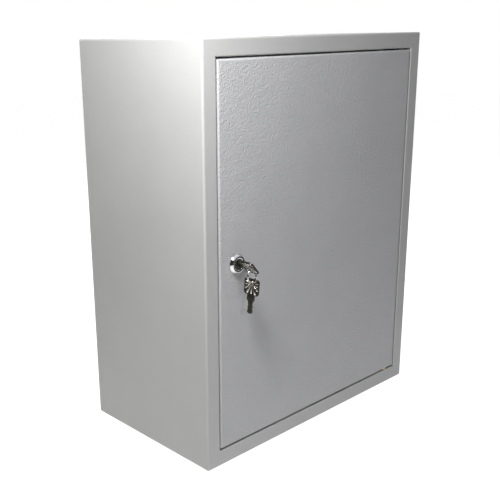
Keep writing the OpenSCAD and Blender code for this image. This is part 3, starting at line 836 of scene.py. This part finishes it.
def white_floor():
    """Pale floor that stays white to the eye and keeps a soft shadow."""
    material = bpy.data.materials.new("white_floor")
    material.use_nodes = True
    nodes = material.node_tree.nodes
    nodes.remove(nodes["Principled BSDF"])
    matt = add_node(material, "ShaderNodeBsdfDiffuse")
    matt.inputs["Color"].default_value = (0.8, 0.8, 0.8, 1)
    glow = add_node(material, "ShaderNodeEmission")
    path = add_node(material, "ShaderNodeLightPath")
    seen = add_node(material, "ShaderNodeMath", operation="MAXIMUM")
    link(material, path.outputs["Is Camera Ray"], seen.inputs[0])
    link(material, path.outputs["Is Glossy Ray"], seen.inputs[1])
    amount = add_node(material, "ShaderNodeMath", operation="MULTIPLY")
    amount.inputs[1].default_value = 0.93
    link(material, seen.outputs[0], amount.inputs[0])
    link(material, amount.outputs[0], glow.inputs["Strength"])
    both = add_node(material, "ShaderNodeAddShader")
    link(material, matt.outputs[0], both.inputs[0])
    link(material, glow.outputs[0], both.inputs[1])
    link(material, both.outputs[0], nodes["Material Output"].inputs["Surface"])
    bm = bmesh.new()
    bmesh.ops.create_circle(bm, cap_ends=True, segments=64, radius=6)
    bmesh.ops.translate(bm, vec=(0, 0, SHELL_LOW.z), verts=bm.verts)
    mesh = bpy.data.meshes.new("floor")
    bm.to_mesh(mesh)
    bm.free()
    mesh.materials.append(material)
    floor = bpy.data.objects.new("floor", mesh)
    bpy.context.scene.collection.objects.link(floor)


def studio_world(strength):
    """White to the eye and in reflections; its dim light is cool from the front, warm from the left."""
    world = bpy.data.worlds.new("studio")
    bpy.context.scene.world = world
    world.use_nodes = True
    background = world.node_tree.nodes["Background"]
    path = add_node(world, "ShaderNodeLightPath")
    seen = add_node(world, "ShaderNodeMath", operation="MAXIMUM")
    link(world, path.outputs["Is Camera Ray"], seen.inputs[0])
    link(world, path.outputs["Is Glossy Ray"], seen.inputs[1])
    link(world, span(world, seen.outputs[0], strength, 1.0), background.inputs["Strength"])
    split = add_node(world, "ShaderNodeSeparateXYZ")
    link(world, add_node(world, "ShaderNodeTexCoord").outputs["Generated"], split.inputs[0])
    side = add_node(world, "ShaderNodeMath", operation="SUBTRACT")
    link(world, split.outputs["Y"], side.inputs[0])
    link(world, split.outputs["X"], side.inputs[1])
    tint = ramp(world, span(world, side.outputs[0], 0.0, 1.0, -1.0, 1.0),
                (0.2, (0.90, 0.96, 1.14)), (0.8, (1.08, 1.03, 0.80)))
    mix = add_node(world, "ShaderNodeMix", data_type="RGBA")
    link(world, seen.outputs[0], mix.inputs["Factor"])
    link(world, tint, mix.inputs["A"])
    mix.inputs["B"].default_value = (1, 1, 1, 1)
    link(world, mix.outputs["Result"], background.inputs["Color"])


def dark_card(name, low, high):
    """Dark studio card between two corners, which only reflections see."""
    material = bpy.data.materials.new(name)
    material.use_nodes = True
    nodes = material.node_tree.nodes
    nodes.remove(nodes["Principled BSDF"])
    shine = add_node(material, "ShaderNodeEmission")
    shine.inputs["Color"].default_value = (0.05, 0.05, 0.055, 1)
    link(material, shine.outputs[0], nodes["Material Output"].inputs["Surface"])
    bm = bmesh.new()
    block(bm, low, high)
    mesh = bpy.data.meshes.new(name)
    bm.to_mesh(mesh)
    bm.free()
    mesh.materials.append(material)
    card = bpy.data.objects.new(name, mesh)
    card.visible_camera = card.visible_diffuse = card.visible_shadow = False
    card.visible_transmission = False
    bpy.context.scene.collection.objects.link(card)


def lamp(name, place, aim, size, power, colour=(1, 1, 1)):
    """Square soft light."""
    data = bpy.data.lights.new(name, "AREA")
    data.shape = "SQUARE"
    data.size = size
    data.energy = power
    data.color = colour
    light = bpy.data.objects.new(name, data)
    light.location = place
    light.rotation_euler = (Vector(aim) - Vector(place)).to_track_quat("-Z", "Y").to_euler()
    light.visible_camera = False
    bpy.context.scene.collection.objects.link(light)


def camera():
    """Camera at the left of the cabinet, a little above its middle."""
    azimuth, height, roll = (math.radians(angle) for angle in (-41.693, 16.424, -1.159))
    back = Vector((math.sin(azimuth) * math.cos(height), -math.cos(azimuth) * math.cos(height),
                   math.sin(height)))
    right = Vector((0, 0, 1)).cross(back).normalized()
    up = back.cross(right)
    across = right * math.cos(roll) + up * math.sin(roll)
    above = up * math.cos(roll) - right * math.sin(roll)
    data = bpy.data.cameras.new("camera")
    data.sensor_width = 36
    data.lens = 56.1
    data.shift_x, data.shift_y = 0.1153, 0.0264
    data.clip_start = 0.01
    made = bpy.data.objects.new("camera", data)
    made.matrix_world = Matrix((across, above, back)).transposed().to_4x4()
    made.location = (-0.75824, -0.82555, 0.25402)
    bpy.context.scene.collection.objects.link(made)
    bpy.context.scene.camera = made


bpy.context.scene.view_settings.view_transform = "Standard"
white_floor()
studio_world(0.08)
camera()
dark_card("front_card", (-1.3, -1.35, SHELL_LOW.z), (1.0, -1.3, 1.2))
dark_card("right_card", (0.0, -0.62, SHELL_LOW.z), (0.8, -0.60, 0.5))
dark_card("left_card", (-1.25, -1.3, SHELL_LOW.z), (-1.2, 0.4, 1.2))
dark_card("low_left_card", (-0.62, -0.35, SHELL_LOW.z), (-0.60, 0.6, 0.25))
lamp("main_light", (-0.44, -0.37, 0.475), (-0.1, -0.15, 0.0), 0.18, 4.0)
lamp("front_light", (-0.55, -1.1, 0.35), (-0.1, -0.15, 0.0), 0.12, 1.2)
lamp("low_light", (-0.25, -0.9, -0.2), (-0.1, -0.15, 0.0), 0.3, 0.2)
lamp("rear_light", (0.9, 1.1, 0.9), (0.0, -0.1, 0.0), 0.8, 12)
